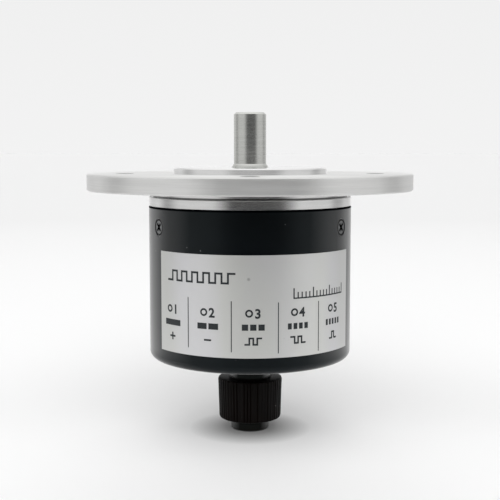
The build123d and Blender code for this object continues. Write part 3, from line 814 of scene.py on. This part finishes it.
column_angles = (-45.9, -22.7, 1.7, 26.0, 50.7)
number_z = -31.0 * MM
number_h = 2.15 * MM
number_boldness = 0.09 * MM
digit_share = 0.72
digit_offset = 1.05 * MM
nought_offset = -0.95 * MM
nought_r = 0.70 * MM
nought_stroke = 0.42 * MM

mark_z = -34.2 * MM
mark_w = 5.2 * MM
mark_h = 1.4 * MM
mark_gap = 0.45 * MM

sign_z = -37.4 * MM
sign_w = 1.8 * MM
sign_stroke = 0.42 * MM
wave_h = 1.45 * MM
wave_stroke = 0.40 * MM
pulse_w = 0.9 * MM
index_pulse_w = 0.8 * MM
index_tail_w = 1.0 * MM

train_from, train_to = -49.0, -8.0
train_pulses = 6
train_z = -23.1 * MM
train_h = 2.2 * MM
train_stroke = 0.46 * MM

scale_from, scale_to = 23.5, 59.5
scale_ticks = 16
scale_z = -27.8 * MM
tick_w = 0.32 * MM
tick_h = 1.4 * MM
long_tick_h = 2.3 * MM
long_tick_every = 5


def lay_on_label(shape, name):
    """Wraps a flat shape, drawn in X and Z with its thickness along Y, round the label."""
    for vertex in shape.data.vertices:
        angle = vertex.co.x / label_r
        radius = ink_r + vertex.co.y
        vertex.co = (radius * sin(angle), -radius * cos(angle), vertex.co.z)
    shape.name = name
    shape.data.materials.clear()
    shape.data.materials.append(label_ink)
    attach(shape, "stator")


def arc(degrees):
    """Length along the label for an angle from its front."""
    return radians(degrees) * label_r


def flat_bar(x, z, width, height):
    """One printed bar: a thin slab, cut across so that it can follow the curve."""
    bpy.ops.mesh.primitive_cube_add(size=1, location=(x, ink_t / 2, z))
    bar = bpy.context.object
    bar.scale = (width, ink_t, height)
    bpy.ops.object.transform_apply(location=True, rotation=True, scale=True)
    cuts = int(width / longest_flat)
    if cuts:
        bpy.ops.object.mode_set(mode="EDIT")
        for k in range(cuts):
            bpy.ops.mesh.select_all(action="SELECT")
            cut_x = x - width / 2 + width * (k + 1) / (cuts + 1)
            bpy.ops.mesh.bisect(plane_co=(cut_x, 0, z), plane_no=(1, 0, 0))
        bpy.ops.object.mode_set(mode="OBJECT")
    return bar


def digit(body, x):
    bpy.ops.object.text_add(location=(0, 0, 0))
    text = bpy.context.object
    text.data.body = body
    text.data.align_x = "CENTER"
    text.data.size = number_h / digit_share
    text.data.extrude = ink_t / 2
    text.data.offset = number_boldness
    text.data.resolution_u = 4
    bpy.ops.object.convert(target="MESH")
    text.rotation_euler = (pi / 2, 0, 0)
    text.location = (x, ink_t / 2, number_z - number_h / 2)
    bpy.ops.object.transform_apply(location=True, rotation=True, scale=True)
    return text


def nought(x):
    """A round nought, pressed flat."""
    bpy.ops.mesh.primitive_torus_add(
        location=(x, ink_t / 2, number_z),
        rotation=(pi / 2, 0, 0),
        major_segments=32,
        minor_segments=8,
        major_radius=nought_r,
        minor_radius=nought_stroke / 2,
    )
    ring = bpy.context.object
    ring.scale = (1, 1, ink_t / nought_stroke)
    bpy.ops.object.transform_apply(location=True, rotation=True, scale=True)
    return ring


def joined(shapes):
    bpy.ops.object.select_all(action="DESELECT")
    for shape in shapes:
        shape.select_set(True)
    bpy.context.view_layer.objects.active = shapes[0]
    bpy.ops.object.join()
    return bpy.context.object


def print_dividers():
    bars = []
    height = divider_top - divider_foot
    for angle in divider_angles:
        middle = divider_foot + height / 2 + divider_drop * angle
        bars.append(flat_bar(arc(angle), middle, divider_w, height))
    lay_on_label(joined(bars), "label_dividers")


def print_numbers():
    shapes = []
    for k, angle in enumerate(column_angles):
        shapes.append(digit(str(k + 1), arc(angle) + digit_offset))
        shapes.append(nought(arc(angle) + nought_offset))
    lay_on_label(joined(shapes), "label_numbers")


def print_wire_marks():
    """One bar per wire, told apart by the number of gaps in it."""
    bars = []
    for gaps, angle in enumerate(column_angles):
        piece_w = (mark_w - gaps * mark_gap) / (gaps + 1)
        for k in range(gaps + 1):
            x = arc(angle) - mark_w / 2 + piece_w / 2 + k * (piece_w + mark_gap)
            bars.append(flat_bar(x, mark_z, piece_w, mark_h))
    lay_on_label(joined(bars), "label_wire_marks")


def square_wave(x, z, width, height, count, stroke, high=False):
    """Bars that draw count pulses, each width long high and as long low, from x to the right."""
    bars = []
    for k in range(2 * count):
        level = z + (height / 2 if high else -height / 2)
        left = x + k * width
        bars.append(flat_bar(left + width / 2, level, width + stroke, stroke))
        if k < 2 * count - 1:
            bars.append(flat_bar(left + width, z, stroke, height))
        high = not high
    return bars


def print_signs():
    """Supply plus and minus, two square waves a quarter turn apart and an index pulse."""
    plus_x, minus_x, wave_x, late_wave_x, index_x = (arc(angle) for angle in column_angles)
    shapes = [
        flat_bar(plus_x, sign_z, sign_w, sign_stroke),
        flat_bar(plus_x, sign_z, sign_stroke, sign_w),
        flat_bar(minus_x, sign_z, sign_w, sign_stroke),
    ]
    shapes += square_wave(wave_x - 2 * pulse_w, sign_z, pulse_w, wave_h, 2, wave_stroke)
    shapes += square_wave(late_wave_x - 2 * pulse_w, sign_z, pulse_w, wave_h, 2, wave_stroke, high=True)
    fall_x = index_x + index_pulse_w / 2
    shapes += square_wave(fall_x - 2 * index_pulse_w, sign_z, index_pulse_w, wave_h, 1, wave_stroke)
    shapes.append(flat_bar(fall_x, sign_z, wave_stroke, wave_h))
    shapes.append(flat_bar(fall_x + index_tail_w / 2, sign_z - wave_h / 2, index_tail_w, wave_stroke))
    lay_on_label(joined(shapes), "label_signal_signs")


def print_pulse_train():
    left, right = arc(train_from), arc(train_to)
    width = (right - left) / (2 * train_pulses)
    bars = square_wave(left, train_z, width, train_h, train_pulses, train_stroke)
    lay_on_label(joined(bars), "label_pulse_train")


def print_scale():
    left, right = arc(scale_from), arc(scale_to)
    bars = [flat_bar((left + right) / 2, scale_z, right - left + tick_w, tick_w)]
    for k in range(scale_ticks):
        height = tick_h if k % long_tick_every else long_tick_h
        x = left + (right - left) * k / (scale_ticks - 1)
        bars.append(flat_bar(x, scale_z + height / 2, tick_w, height))
    lay_on_label(joined(bars), "label_scale")


print_dividers()
print_numbers()
print_wire_marks()
print_signs()
print_pulse_train()
print_scale()
